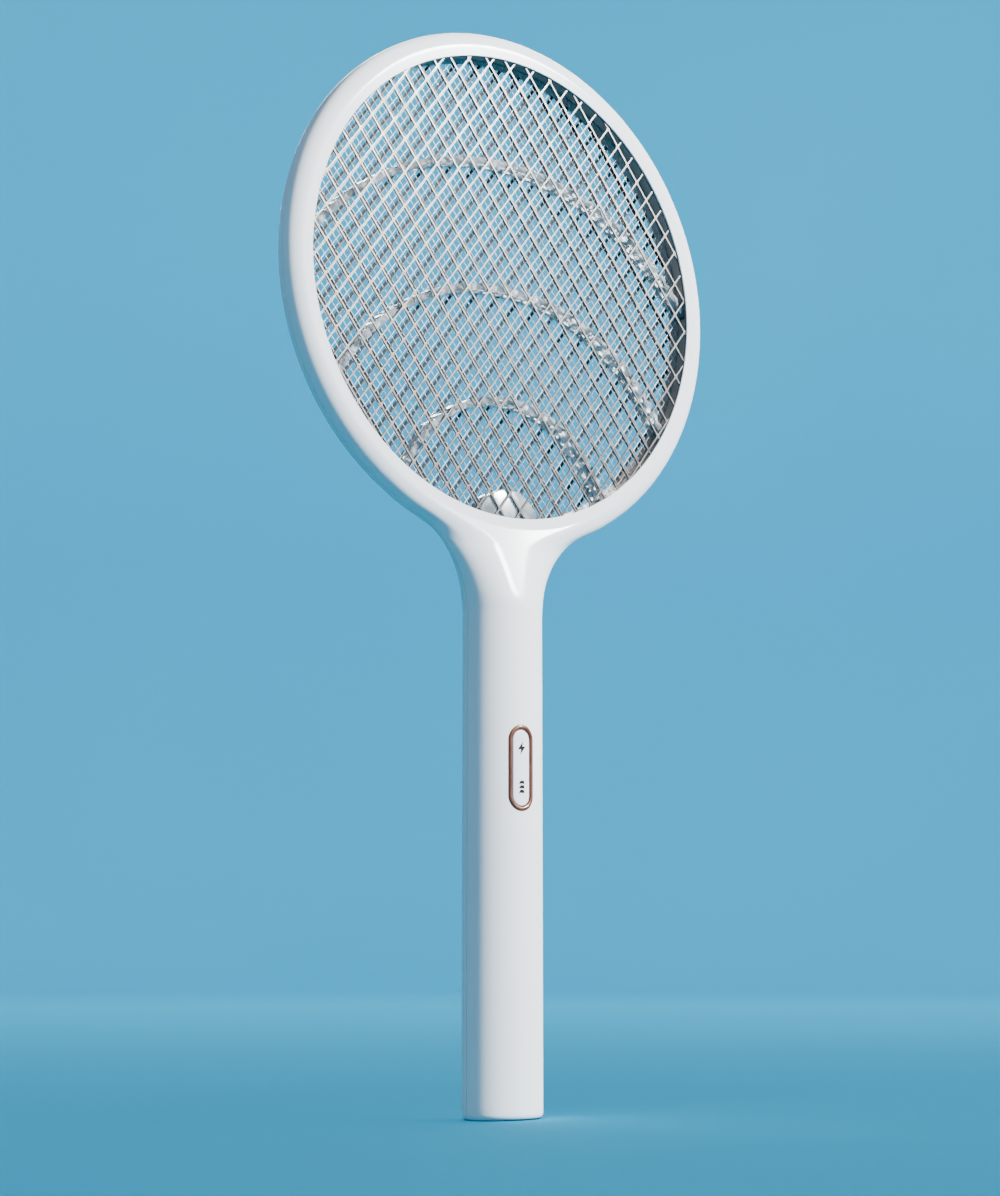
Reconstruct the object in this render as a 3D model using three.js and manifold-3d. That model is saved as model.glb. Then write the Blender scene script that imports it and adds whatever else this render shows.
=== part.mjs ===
// Electric fly swatter: an oval handle and a round head frame that holds three nets.
// Millimetres. The origin is the centre of the handle's flat end, +Z runs up the handle to the
// head, -Y is the front, where the button is, and +X is to the right seen from the front.

import * as THREE from 'three';
import { mergeGeometries, mergeVertices } from 'three/addons/utils/BufferGeometryUtils.js';
import Module from 'manifold-3d';

// ---------------------------------------------------------------- driving dimensions

const TOTAL_LENGTH = 450;
const FIT_GAP = 0.3; // between pieces that rest on each other
const SPLIT_GAP = 0.15; // from the middle plane to each casing half

// Head frame
const HEAD_OUTER_R = 109.25;
const OPENING_R = 98.3;
const BAND_R = 102.85; // outer edge of the flat band round the opening
const HEAD_HALF_DEPTH = 6.16;
const LIP_THICKNESS = 0.6; // of the flat band over the net rims
const WALL = 2;
const RING_BULGE = 2.5; // superellipse power of the frame's rounded outer side
const HEAD_Z = TOTAL_LENGTH - HEAD_OUTER_R;
const RIM_R = 103.2; // outer radius of the pieces that the frame holds
const WALL_RING_R = OPENING_R + 1; // outside of the net frames' thin wall

// Handle and neck
const HANDLE_A = 18.1; // half width
const HANDLE_B = 12.75; // half depth
const END_ROUNDING = 2.5;
const NECK_FILLET_R = 44;
const FACET_TOP_Z = HEAD_Z - BAND_R + 1; // the slanted neck facet starts under the flat band
const FACET_TIP_Z = 206.4; // and runs out on the handle's front line
const NECK_THINNING = 0.195; // half depth lost per mm of height above the handle
const THINNING_START = 1.3; // above the facet's tip
const THINNING_SOFTNESS = 2.5;

// Nets
const CELL_W = 10.83; // width of one diamond of the front net
const CELL_H = 14.05; // height of one diamond
const STRANDS_SHOWN = 3; // every third strand is solid here
const NET_THICKNESS = 0.6;
const FRONT_NET_Y = -5.1; // middle of the front net's thickness
const STRAND = 1.2;
const WIRE = 0.8;
const SPACER_RIB = 3.2;
const SPACER_ARCS = [
  { centreZ: 237.5, r: 54.5 },
  { centreZ: 242, r: 97.7 },
  { centreZ: 269, r: 125 },
];

// Button
const BUTTON_Z = 139.1;
const BEZEL = { width: 12.2, height: 34.6, line: 1.45 };
const BUTTON_CLEARANCE = 0.2;
const SWITCH_Z = 147;

// Inside the handle
const BOARD = { width: 24, bottom: 94, top: 196, front: -1.2, back: 0.4 };
const CELL_R = 9.1;
const CELL_LENGTH = 65;
const CELL_Z = 19;
const SCREW = { shankR: 1.1, headR: 2.1, headHeight: 1.3, bossR: 3.1, tipY: -3.8, sink: 3.4 };
const SCREW_PLACES = [[0, 88.5], [0, 203], [-20, 229], [20, 229]]; // x, z
const CENTRE_TAB = { x: 0, bottom: 222 };
const OUTER_TAB = { x: 9, bottom: 222 };

// Facets
const RING_STEPS = 48;
const OVAL_STEPS = 28;
const ROUND_STEPS = 14;

// ---------------------------------------------------------------- solids

const wasm = await Module();
wasm.setup();

// A closed three.js geometry as a solid for booleans.
function solid(geometry) {
  const bare = geometry.clone();
  for (const name of Object.keys(bare.attributes)) {
    if (name !== 'position') bare.deleteAttribute(name);
  }
  const merged = mergeVertices(bare, 1e-4);
  return new wasm.Manifold(new wasm.Mesh({
    numProp: 3,
    vertProperties: new Float32Array(merged.attributes.position.array),
    triVerts: new Uint32Array(merged.index.array),
  }));
}

// A solid back as a three.js geometry.
function geometryOf(body) {
  const mesh = body.getMesh();
  const geometry = new THREE.BufferGeometry();
  geometry.setAttribute('position', new THREE.BufferAttribute(mesh.vertProperties, 3));
  geometry.setIndex(new THREE.BufferAttribute(mesh.triVerts, 1));
  geometry.computeVertexNormals();
  return geometry;
}

function box(x0, x1, y0, y1, z0, z1) {
  const geometry = new THREE.BoxGeometry(x1 - x0, y1 - y0, z1 - z0);
  geometry.translate((x0 + x1) / 2, (y0 + y1) / 2, (z0 + z1) / 2);
  return solid(geometry);
}

// A round bar along Y, from y0 to y1.
function barY(r, y0, y1, x = 0, z = 0, steps = ROUND_STEPS) {
  const geometry = new THREE.CylinderGeometry(r, r, y1 - y0, steps);
  geometry.translate(x, (y0 + y1) / 2, z);
  return solid(geometry);
}

// A round bar along Z, from z0 to z1.
function barZ(r, z0, z1, x = 0, y = 0, steps = ROUND_STEPS) {
  const geometry = new THREE.CylinderGeometry(r, r, z1 - z0, steps);
  geometry.rotateX(Math.PI / 2);
  geometry.translate(x, y, (z0 + z1) / 2);
  return solid(geometry);
}

// A profile of [radius, y] points turned round the head's axis.
function turned(points, steps = RING_STEPS) {
  const loop = [...points, points[0]].map(([r, y]) => new THREE.Vector2(r, y));
  const geometry = new THREE.LatheGeometry(loop, steps);
  geometry.translate(0, 0, HEAD_Z);
  return solid(geometry);
}

// An outline in X and Z, given as a Shape, thickened along Y from y0 to y1.
function plate(shape, y0, y1, curveSteps = 7) {
  const geometry = new THREE.ExtrudeGeometry(shape, {
    depth: y1 - y0,
    bevelEnabled: false,
    curveSegments: curveSteps,
  });
  geometry.rotateX(Math.PI / 2);
  geometry.translate(0, y1, 0);
  return solid(geometry);
}

// A tube along a smooth route of [x, y, z] points.
function tube(r, points, steps = 16) {
  const route = new THREE.CatmullRomCurve3(points.map((p) => new THREE.Vector3(...p)));
  const section = new THREE.Shape();
  section.absarc(0, 0, r, 0, 2 * Math.PI);
  return solid(new THREE.ExtrudeGeometry(section, {
    steps,
    curveSegments: 4,
    extrudePath: route,
  }));
}

// A closed skin over rings of points, each ring with the same number of points.
function loft(rings) {
  const count = rings[0].length;
  const positions = rings.flat(2);
  const index = [];
  const last = (rings.length - 1) * count;
  for (let ring = 0; ring < rings.length - 1; ring += 1) {
    for (let i = 0; i < count; i += 1) {
      const a = ring * count + i;
      const b = ring * count + ((i + 1) % count);
      index.push(a, b, b + count, a, b + count, a + count);
    }
  }
  for (let i = 1; i < count - 1; i += 1) {
    index.push(0, i + 1, i);
    index.push(last, last + i, last + i + 1);
  }
  const geometry = new THREE.BufferGeometry();
  geometry.setAttribute('position', new THREE.Float32BufferAttribute(positions, 3));
  geometry.setIndex(index);
  return solid(geometry);
}

// ---------------------------------------------------------------- outlines and sections

function ovalRing(a, b, z) {
  return Array.from({ length: OVAL_STEPS }, (_, i) => {
    const turn = (i / OVAL_STEPS) * 2 * Math.PI;
    return [a * Math.cos(turn), b * Math.sin(turn), z];
  });
}

function ovalBar(a, b, z0, z1) {
  return loft([ovalRing(a, b, z0), ovalRing(a, b, z1)]);
}

// A pill standing along Z, centred on the button.
function pill(width, height) {
  const r = width / 2;
  const straight = height / 2 - r;
  const shape = new THREE.Shape();
  shape.absarc(0, BUTTON_Z + straight, r, 0, Math.PI);
  shape.absarc(0, BUTTON_Z - straight, r, Math.PI, 2 * Math.PI);
  return shape;
}

// Height where the fillet circle leaves the handle's side.
const FILLET_X = HANDLE_A + NECK_FILLET_R;
const FILLET_DROP = Math.sqrt((HEAD_OUTER_R + NECK_FILLET_R) ** 2 - FILLET_X ** 2);
const FILLET_Z = HEAD_Z - FILLET_DROP;
const TANGENT_Z = HEAD_Z - (FILLET_DROP * HEAD_OUTER_R) / (HEAD_OUTER_R + NECK_FILLET_R);

// Half width of the neck at height z: the handle's, then a fillet into the frame's circle.
function neckHalfWidth(z) {
  if (z <= FILLET_Z) return HANDLE_A;
  if (z <= TANGENT_Z) return FILLET_X - Math.sqrt(NECK_FILLET_R ** 2 - (z - FILLET_Z) ** 2);
  return Math.sqrt(HEAD_OUTER_R ** 2 - (HEAD_Z - z) ** 2);
}

// Half depth of the neck's oval section: the handle's, then falling steadily after a soft start.
function neckHalfDepth(z) {
  const rise = z - FACET_TIP_Z - THINNING_START;
  return HANDLE_B - (NECK_THINNING * (rise + Math.hypot(rise, THINNING_SOFTNESS))) / 2;
}

// Handle and neck as one closed form, drawn in by inset on every side.
function handleForm(inset) {
  const rings = [];
  const bottomSteps = 3;
  for (let i = 0; i <= bottomSteps; i += 1) {
    const turn = (i / bottomSteps) * (Math.PI / 2);
    const back = END_ROUNDING * (1 - Math.sin(turn));
    const z = END_ROUNDING * (1 - Math.cos(turn));
    rings.push(ovalRing(HANDLE_A - back - inset, HANDLE_B - back - inset, z));
  }
  const neckSteps = 10;
  const neckTop = HEAD_Z - OPENING_R + 8;
  for (let i = 0; i <= neckSteps; i += 1) {
    const z = FILLET_Z + ((neckTop - FILLET_Z) * i) / neckSteps;
    rings.push(ovalRing(neckHalfWidth(z) - inset, neckHalfDepth(z) - inset, z));
  }
  const form = loft(rings);
  return form.subtract(facetWedge(-1, inset)).subtract(facetWedge(1, inset));
}

// What the slanted facet takes off the neck's front (side -1) or back (side 1).
function facetWedge(side, inset) {
  const slope = (HANDLE_B - HEAD_HALF_DEPTH) / (FACET_TOP_Z - FACET_TIP_Z);
  const far = 40;
  const above = 60;
  const topDepth = HEAD_HALF_DEPTH - inset;
  const outline = new THREE.Shape();
  outline.moveTo(topDepth, FACET_TOP_Z + above);
  outline.lineTo(topDepth, FACET_TOP_Z);
  outline.lineTo(topDepth + slope * above, FACET_TOP_Z - above);
  outline.lineTo(far, FACET_TOP_Z - above);
  outline.lineTo(far, FACET_TOP_Z + above);
  const width = 200;
  const geometry = new THREE.ExtrudeGeometry(outline, { depth: width, bevelEnabled: false });
  // outline x becomes +Y or -Y, outline y becomes +Z, the depth runs along X
  const turn = new THREE.Matrix4();
  if (side > 0) turn.set(0, 0, 1, -width / 2, 1, 0, 0, 0, 0, 1, 0, 0, 0, 0, 0, 1);
  else turn.set(0, 0, -1, width / 2, -1, 0, 0, 0, 0, 1, 0, 0, 0, 0, 0, 1);
  geometry.applyMatrix4(turn);
  return solid(geometry);
}

// The head frame's section as [radius, y] points: a flat band, then a rounded outer side.
function ringProfile(innerR, bandR, outerR, halfDepth) {
  const points = [[innerR, halfDepth], [innerR, -halfDepth]];
  const steps = 10;
  for (let i = 0; i <= steps; i += 1) {
    const turn = (i / steps) * Math.PI;
    const out = Math.abs(Math.sin(turn)) ** (2 / RING_BULGE);
    const along = Math.abs(Math.cos(turn)) ** (2 / RING_BULGE);
    points.push([bandR + (outerR - bandR) * out, -halfDepth * along * Math.sign(Math.cos(turn))]);
  }
  return points;
}

// ---------------------------------------------------------------- materials

function material(color, roughness, metalness = 0) {
  return new THREE.MeshStandardMaterial({ color, roughness, metalness });
}

const WHITE = material(0xe9ecef, 0.35);
const DARK = material(0x33383a, 0.4);
const NET = material(0xd9dad6, 0.35, 0.8);
const CLEAR = new THREE.MeshStandardMaterial({
  color: 0xe6eef0,
  roughness: 0.1,
  transparent: true,
  opacity: 0.35,
});
const COPPER = material(0xb97a52, 0.25, 1);
const STEEL = material(0xb4b8bb, 0.3, 1);
const BOARD_GREEN = material(0x1f5a3c, 0.5);
const BLACK = material(0x1b1c1e, 0.5);
const FERRITE = material(0x3a3a3d, 0.7);
const WINDING = material(0xc9a227, 0.5);
const CELL_BLUE = material(0x2f6db0, 0.45);
const FILM_RED = material(0x9c2f2a, 0.4);
const RED_LEAD = material(0xb3261e, 0.5);
const BLACK_LEAD = material(0x202122, 0.5);
const LED_WHITE = material(0xf4f1dc, 0.3);

const swatter = new THREE.Group();

function add(name, body, look, position = [0, 0, 0]) {
  const geometry = body.isBufferGeometry ? body : geometryOf(body);
  const mesh = new THREE.Mesh(geometry, look);
  mesh.name = name;
  mesh.position.set(...position);
  swatter.add(mesh);
  return mesh;
}

// ---------------------------------------------------------------- casing

const FAR = 500;
const frontHalf = box(-FAR, FAR, -FAR, -SPLIT_GAP, -FAR, FAR);
const rearHalf = box(-FAR, FAR, SPLIT_GAP, FAR, -FAR, FAR);
const opening = barY(OPENING_R, -FAR, FAR, 0, HEAD_Z, RING_STEPS);
const POCKET = { a: 14.6, b: 9.2, top: 2.5 }; // where the end cap sits
const LEDGE = { a: 13.1, b: 7.7, top: 4 }; // what it rests on

function casing() {
  const ring = turned(ringProfile(OPENING_R, BAND_R, HEAD_OUTER_R, HEAD_HALF_DEPTH));
  return ring.add(handleForm(0)).subtract(opening);
}

// The room inside: the ring's channel, the neck, the handle and the end cap's pocket.
function casingRoom() {
  const lipDepth = HEAD_HALF_DEPTH - LIP_THICKNESS;
  const channel = turned([
    [OPENING_R - 5, lipDepth],
    [OPENING_R - 5, -lipDepth],
    [RIM_R + FIT_GAP, -lipDepth],
    [RIM_R + FIT_GAP, -(HEAD_HALF_DEPTH - WALL)],
    [BAND_R + 2.6, -(HEAD_HALF_DEPTH - WALL)],
    [HEAD_OUTER_R - WALL, -2],
    [HEAD_OUTER_R - WALL, 2],
    [BAND_R + 2.6, HEAD_HALF_DEPTH - WALL],
    [RIM_R + FIT_GAP, HEAD_HALF_DEPTH - WALL],
    [RIM_R + FIT_GAP, lipDepth],
  ]);
  const headClear = box(-80, 80, -20, 20, LEDGE.top, HEAD_Z - RIM_R + 0.5);
  const bore = handleForm(WALL).intersect(headClear);
  const pocket = ovalBar(POCKET.a, POCKET.b, -1, POCKET.top);
  const throat = ovalBar(LEDGE.a, LEDGE.b, -1, LEDGE.top + 1);
  const tabRoom = (x, y0, y1) => box(x - 3, x + 3, y0, y1, OUTER_TAB.bottom - 1, HEAD_Z - RIM_R + 1);
  return channel.add(bore).add(pocket).add(throat)
    .add(tabRoom(-OUTER_TAB.x, -lipDepth, 0))
    .add(tabRoom(OUTER_TAB.x, 0, lipDepth));
}

const outerForm = casing();
const room = casingRoom();
const hollow = outerForm.subtract(room);

// Posts that the screws join. The rear ones take the shank and the head, the front ones the thread.
function posts(places, y0, y1) {
  return places.reduce(
    (all, [x, z]) => (all ? all.add(barY(SCREW.bossR, y0, y1, x, z)) : barY(SCREW.bossR, y0, y1, x, z)),
    null,
  );
}

// Depth of the rear surface where a screw sits, and the seat of its head under it.
function headSeat(x, z) {
  const b = neckHalfDepth(z);
  const surface = b * Math.sqrt(1 - (x / neckHalfWidth(z)) ** 2);
  return surface - SCREW.sink;
}

function screwHoles() {
  const belowTip = 0.7;
  let holes = null;
  for (const [x, z] of SCREW_PLACES) {
    const shank = barY(SCREW.shankR + FIT_GAP, SCREW.tipY - belowTip, FAR, x, z);
    const head = barY(SCREW.headR + FIT_GAP, headSeat(x, z), FAR, x, z);
    holes = holes ? holes.add(shank).add(head) : shank.add(head);
  }
  return holes;
}

const bosses = posts(SCREW_PLACES, -FAR, FAR).intersect(outerForm);
const joined = hollow.add(bosses).subtract(screwHoles());
const bezelHole = plate(pill(BEZEL.width + 2 * FIT_GAP, BEZEL.height + 2 * FIT_GAP), -FAR, -5);
add('front_shell', joined.intersect(frontHalf).subtract(bezelHole), WHITE);
add('rear_shell', joined.intersect(rearHalf), WHITE);

const INLET = { width: 9.6, depth: 3.9 };
function stadiumBar(width, depth, z0, z1) {
  const r = depth / 2;
  const side = width / 2 - r;
  return box(-side, side, -r, r, z0, z1).add(barZ(r, z0, z1, -side)).add(barZ(r, z0, z1, side));
}
const capPlate = ovalBar(POCKET.a - FIT_GAP, POCKET.b - FIT_GAP, 0, POCKET.top - FIT_GAP);
add('end_cap', capPlate.subtract(stadiumBar(INLET.width, INLET.depth, -1, 5)), WHITE);

// ---------------------------------------------------------------- nets

// Diamond prisms that leave strands of the given width between them.
function diamondCells(width, height, strand, offsetX, offsetZ) {
  const slant = Math.hypot(width, height);
  const holeW = width - (strand * slant) / height;
  const holeH = height - (strand * slant) / width;
  const keepR = OPENING_R + 0.6;
  const cells = [];
  const reach = Math.ceil((2 * keepR) / Math.min(width, height)) + 1;
  for (let row = -2 * reach; row <= 2 * reach; row += 1) {
    for (let column = -reach; column <= reach; column += 1) {
      const x = offsetX + (column + (row % 2 === 0 ? 0 : 0.5)) * width;
      const z = offsetZ + (row * height) / 2;
      if (Math.hypot(x, z) > keepR + 0.1 * width) continue;
      const cell = new THREE.CylinderGeometry(1, 1, 4, 4);
      cell.scale(holeW / 2, 1, holeH / 2);
      cell.translate(x, 0, z);
      cells.push(cell);
    }
  }
  const gauge = barY(keepR, -2, 2, 0, 0, RING_STEPS);
  return solid(mergeGeometries(cells)).intersect(gauge);
}

// A net lies round the head's axis: a rim, the strands, and a solder tab down into the neck.
function net(thickness, cells, tab) {
  const half = thickness / 2;
  const disc = barY(RIM_R, -half, half, 0, 0, RING_STEPS);
  const tabTop = -(OPENING_R + 2);
  const tongue = box(tab.x - 2.5, tab.x + 2.5, -half, half, tab.bottom - HEAD_Z, tabTop);
  return disc.subtract(cells).add(tongue);
}

const cellW = CELL_W * STRANDS_SHOWN;
const cellH = CELL_H * STRANDS_SHOWN;
const NODE_OFFSET_Z = 2.3; // the strand crossing nearest to the head's centre
const outerCells = diamondCells(cellW, cellH, STRAND, cellW / 2, NODE_OFFSET_Z);
const centreCells = diamondCells(cellW, cellH, WIRE, 0, NODE_OFFSET_Z + cellH / 4);
const headCentre = (y) => [0, y, HEAD_Z];
add('front_net', net(NET_THICKNESS, outerCells, { ...OUTER_TAB, x: -OUTER_TAB.x }), NET,
  headCentre(FRONT_NET_Y));
add('rear_net', net(NET_THICKNESS, outerCells, OUTER_TAB), NET, headCentre(-FRONT_NET_Y));
add('centre_net', net(0.5, centreCells, CENTRE_TAB), NET, headCentre(0));

// ---------------------------------------------------------------- net frames and spacers

// Rear halves; the front halves are the same pieces turned over.
const FRAME_Y = { inner: 0.4, flange: 2.9, outer: 4.65 };
const SPACER_Y = { inner: 0.45, rim: 2.6, outer: 4.5 };

function netFrame() {
  return turned([
    [OPENING_R, FRAME_Y.outer],
    [OPENING_R, FRAME_Y.inner],
    [WALL_RING_R, FRAME_Y.inner],
    [WALL_RING_R, FRAME_Y.flange],
    [RIM_R, FRAME_Y.flange],
    [RIM_R, FRAME_Y.outer],
  ]);
}

// The spacer's curved ribs, each wider by extra on both sides.
function spacerRibs(extra, y0, y1) {
  const half = SPACER_RIB / 2 + extra;
  let ribs = null;
  for (const { centreZ, r } of SPACER_ARCS) {
    const rib = new THREE.Shape();
    rib.absarc(0, centreZ, r + half, 0, Math.PI);
    rib.absarc(0, centreZ, r - half, Math.PI, 0, true);
    const body = plate(rib, y0, y1, 18);
    ribs = ribs ? ribs.add(body) : body;
  }
  const foot = barY(16 + extra, y0, y1, 0, HEAD_Z - OPENING_R - 4, 24);
  return ribs.add(foot);
}

function spacer() {
  const rim = turned([
    [WALL_RING_R + FIT_GAP, SPACER_Y.rim],
    [WALL_RING_R + FIT_GAP, SPACER_Y.inner],
    [RIM_R, SPACER_Y.inner],
    [RIM_R, SPACER_Y.rim],
  ]);
  const inside = barY(WALL_RING_R + 1, -FAR, FAR, 0, HEAD_Z, RING_STEPS);
  return rim.add(spacerRibs(0, SPACER_Y.inner, SPACER_Y.outer).intersect(inside));
}

// Room for the ribs where they pass through the net frame's wall and under its flange.
const frameBody = netFrame().subtract(spacerRibs(FIT_GAP, FRAME_Y.inner - 1, FRAME_Y.outer + 1)
  .intersect(barY(WALL_RING_R + 1 + FIT_GAP, -FAR, FAR, 0, HEAD_Z, RING_STEPS)));
const spacerBody = spacer();
const turnOver = (body) => body.mirror([0, 1, 0]);
add('net_frame_rear', frameBody, DARK);
add('net_frame_front', turnOver(frameBody), DARK);
add('spacer_rear', spacerBody, CLEAR);
add('spacer_front', turnOver(spacerBody), CLEAR);

// ---------------------------------------------------------------- button

const PROUD = 0.1;
const outerSkin = (proud) => ovalBar(HANDLE_A + proud, HANDLE_B + proud, 100, 180);
const BEZEL_FOOT_Y = -8.3;
const BUTTON_FOOT_Y = -7.2;
const capWidth = BEZEL.width - 2 * BEZEL.line - 2 * BUTTON_CLEARANCE;
const capHeight = BEZEL.height - 2 * BEZEL.line - 2 * BUTTON_CLEARANCE;

function buttonBezel() {
  const innerW = BEZEL.width - 2 * BEZEL.line;
  const innerH = BEZEL.height - 2 * BEZEL.line;
  const wall = plate(pill(BEZEL.width, BEZEL.height), -20, BEZEL_FOOT_Y).intersect(outerSkin(PROUD));
  const flange = plate(pill(BEZEL.width + 3, BEZEL.height + 3), BEZEL_FOOT_Y - 0.9, BEZEL_FOOT_Y);
  return wall.add(flange).subtract(plate(pill(innerW, innerH), -20, 0));
}

function buttonCap() {
  const face = plate(pill(capWidth, capHeight), -20, BUTTON_FOOT_Y).intersect(outerSkin(0));
  const flangeTop = BEZEL_FOOT_Y + FIT_GAP;
  const flange = plate(pill(capWidth + 2.4, capHeight + 2.4), flangeTop, BUTTON_FOOT_Y);
  const stem = barY(1.5, BUTTON_FOOT_Y - 0.5, -6.2, 0, SWITCH_Z);
  return face.add(flange).add(stem);
}

add('button_bezel', buttonBezel(), COPPER);
add('button_cap', buttonCap(), WHITE);

const SWITCH = { size: 6, top: -4.5, plungerR: 1.7, plungerTop: -5.9, floor: -2.6 };
const boardFront = BOARD.front - 0.15;
const switchBody = box(-SWITCH.size / 2, SWITCH.size / 2, SWITCH.top, boardFront,
  SWITCH_Z - SWITCH.size / 2, SWITCH_Z + SWITCH.size / 2);
const plungerBore = barY(SWITCH.plungerR + 0.2, SWITCH.top - 1, SWITCH.floor, 0, SWITCH_Z);
add('switch_body', switchBody.subtract(plungerBore), BLACK);
add('switch_plunger', barY(SWITCH.plungerR, SWITCH.plungerTop, -3.6, 0, SWITCH_Z), STEEL);

const LED_SPACING = 3.6;
const LED_Z = 131.6;
add('light_guide', box(-2.2, 2.2, -5.9, -2.4, LED_Z - 5.5, LED_Z + 5.5), CLEAR);
for (let i = 0; i < 3; i += 1) {
  const z = (i - 1) * LED_SPACING;
  add(`led_${i + 1}`, box(-0.8, 0.8, boardFront - 0.7, boardFront, -0.6, 0.6), LED_WHITE,
    [0, 0, LED_Z + z]);
}

// ---------------------------------------------------------------- step-up circuit

const boardBack = BOARD.back + 0.15;
const half = BOARD.width / 2;
const boardHole = (z) => barY(0.8, -5, 5, 0, z, 12);
const mainBoard = box(-half, half, BOARD.front, BOARD.back, BOARD.bottom, BOARD.top)
  .subtract(boardHole(BOARD.bottom + 4).add(boardHole(BOARD.top - 4)));
add('main_board', mainBoard, BOARD_GREEN);

const TRANSFORMER_Z = 172;
function transformerCore() {
  const block = box(-8, 8, boardBack, boardBack + 8.4, -6.5, 6.5);
  const windows = box(-5.6, -2.6, boardBack - 1, boardBack + 9, -4.2, 4.2)
    .add(box(2.6, 5.6, boardBack - 1, boardBack + 9, -4.2, 4.2));
  return block.subtract(windows);
}
add('transformer_core', transformerCore(), FERRITE, [0, 0, TRANSFORMER_Z]);
const windingBridge = box(-5.3, 5.3, boardBack + 8.7, boardBack + 9.5, -3.9, 3.9);
const windingLegs = box(-5.3, -2.9, boardBack + 0.6, boardBack + 9, -3.9, 3.9)
  .add(box(2.9, 5.3, boardBack + 0.6, boardBack + 9, -3.9, 3.9));
add('transformer_winding', windingLegs.add(windingBridge), WINDING, [0, 0, TRANSFORMER_Z]);

const CAPACITORS = [{ z: 118 }, { z: 142 }];
CAPACITORS.forEach(({ z }, i) => {
  add(`hv_capacitor_${i + 1}`, box(-4, 4, boardBack, boardBack + 9, -9, 9), FILM_RED, [0, 0, z]);
});

const PART_R = 1.35;
const PART_LENGTH = 5.2;
const smallPart = barZ(PART_R, -PART_LENGTH / 2, PART_LENGTH / 2, 0, boardBack + PART_R, 12);
const DIODE_PLACES = [[-9.2, 112], [-9.2, 122], [9.2, 112], [9.2, 122]];
DIODE_PLACES.forEach(([x, z], i) => add(`hv_diode_${i + 1}`, smallPart, BLACK, [x, 0, z]));
add('bleed_resistor', smallPart, RED_LEAD, [-9.2, 0, 142]);

const transistor = barY(2.4, boardBack, boardBack + 4.6, 0, 0, 16)
  .subtract(box(-3, 3, boardBack - 1, boardBack + 6, 1.4, 3));
add('drive_transistor', transistor, BLACK, [8.6, 0, 142]);

// ---------------------------------------------------------------- supply

const cellTop = CELL_Z + CELL_LENGTH;
add('battery_cell', barZ(CELL_R, CELL_Z, cellTop - 1.2, 0, 0, 28)
  .add(barZ(3, cellTop - 2, cellTop, 0, 0, 16)), CELL_BLUE);

function batteryCradle() {
  const inner = CELL_R + FIT_GAP;
  const tray = barZ(inner + 0.9, CELL_Z + 3, cellTop - 6, 0, 0, 28)
    .subtract(barZ(inner, CELL_Z, cellTop, 0, 0, 28));
  return tray.intersect(box(-FAR, FAR, 1, FAR, -FAR, FAR));
}
add('battery_cradle', batteryCradle(), BLACK);

const TAB = 0.3;
add('battery_tab_negative', box(-2.5, 2.5, -7, 5, CELL_Z - 0.2 - TAB, CELL_Z - 0.2), STEEL);
add('battery_tab_positive', box(-2.5, 2.5, -7, 5, cellTop + 0.2, cellTop + 0.2 + TAB), STEEL);

const CHARGE_BOARD_Y = 1.9;
add('charge_board', box(-7, 7, CHARGE_BOARD_Y, CHARGE_BOARD_Y + 1, 3, 15.5), BOARD_GREEN);
const INLET_Z = { mouth: 0.4, back: 8 };
const inletShell = stadiumBar(8.9, 3.2, INLET_Z.mouth, INLET_Z.back)
  .subtract(stadiumBar(8.3, 2.6, INLET_Z.mouth - 1, INLET_Z.back - 0.8));
add('usb_shell', inletShell, STEEL);
add('usb_tongue', box(-3.3, 3.3, -0.35, 0.35, INLET_Z.mouth + 0.9, INLET_Z.back - 1.1), BLACK);

// ---------------------------------------------------------------- leads

const LEAD_R = 0.65;
add('battery_lead_negative', tube(LEAD_R, [
  [0, -7.9, CELL_Z - 1.9], [-5.5, -8.6, CELL_Z - 0.9], [-11.4, -4.8, CELL_Z + 8], [-13, 0, CELL_Z + 30],
  [-13, 0, cellTop - 8], [-11.5, 0.6, cellTop + 4], [-10, 0, BOARD.bottom - 0.9],
], 16), BLACK_LEAD);
add('battery_lead_positive', tube(LEAD_R, [
  [4.6, -5, cellTop + 0.4], [7, -3.4, cellTop + 2], [8, -1.4, cellTop + 5], [8, -0.5, BOARD.bottom - 0.9],
], 6), RED_LEAD);

function netLead(name, x0, x1, y1, bottom) {
  const top = bottom - 1;
  add(name, tube(LEAD_R, [
    [x0, 0, BOARD.top + 0.9], [x0, 0, BOARD.top + 7], [(x0 + x1) / 2, y1 / 2, (BOARD.top + top) / 2 + 3],
    [x1, y1, top - 5], [x1, y1, top],
  ], 8), RED_LEAD);
}
netLead('hv_lead_centre', 6, CENTRE_TAB.x, 0, CENTRE_TAB.bottom);
netLead('hv_lead_front', -8, -OUTER_TAB.x, FRONT_NET_Y, OUTER_TAB.bottom);
netLead('hv_lead_rear', 9.5, OUTER_TAB.x, -FRONT_NET_Y, OUTER_TAB.bottom);

// ---------------------------------------------------------------- screws

function screw(length) {
  const shank = barY(SCREW.shankR, -length, 0.4);
  const head = barY(SCREW.headR, 0, SCREW.headHeight);
  const slotHalf = { long: 1.3, wide: 0.3 };
  const cross = box(-slotHalf.long, slotHalf.long, 0.7, 3, -slotHalf.wide, slotHalf.wide)
    .add(box(-slotHalf.wide, slotHalf.wide, 0.7, 3, -slotHalf.long, slotHalf.long));
  return shank.add(head).subtract(cross);
}
SCREW_PLACES.forEach(([x, z], i) => {
  const seat = headSeat(x, z) + 0.2;
  add(`screw_${i + 1}`, screw(seat - SCREW.tipY), STEEL, [x, seat, z]);
});

export default swatter;
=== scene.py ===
# The electric fly swatter's looks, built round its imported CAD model. Blender units are metres;
# the shape functions below work in millimetres and are scaled when a mesh is made.

import math

import bmesh
import bpy
import numpy as np
from mathutils import Matrix, Vector

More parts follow.
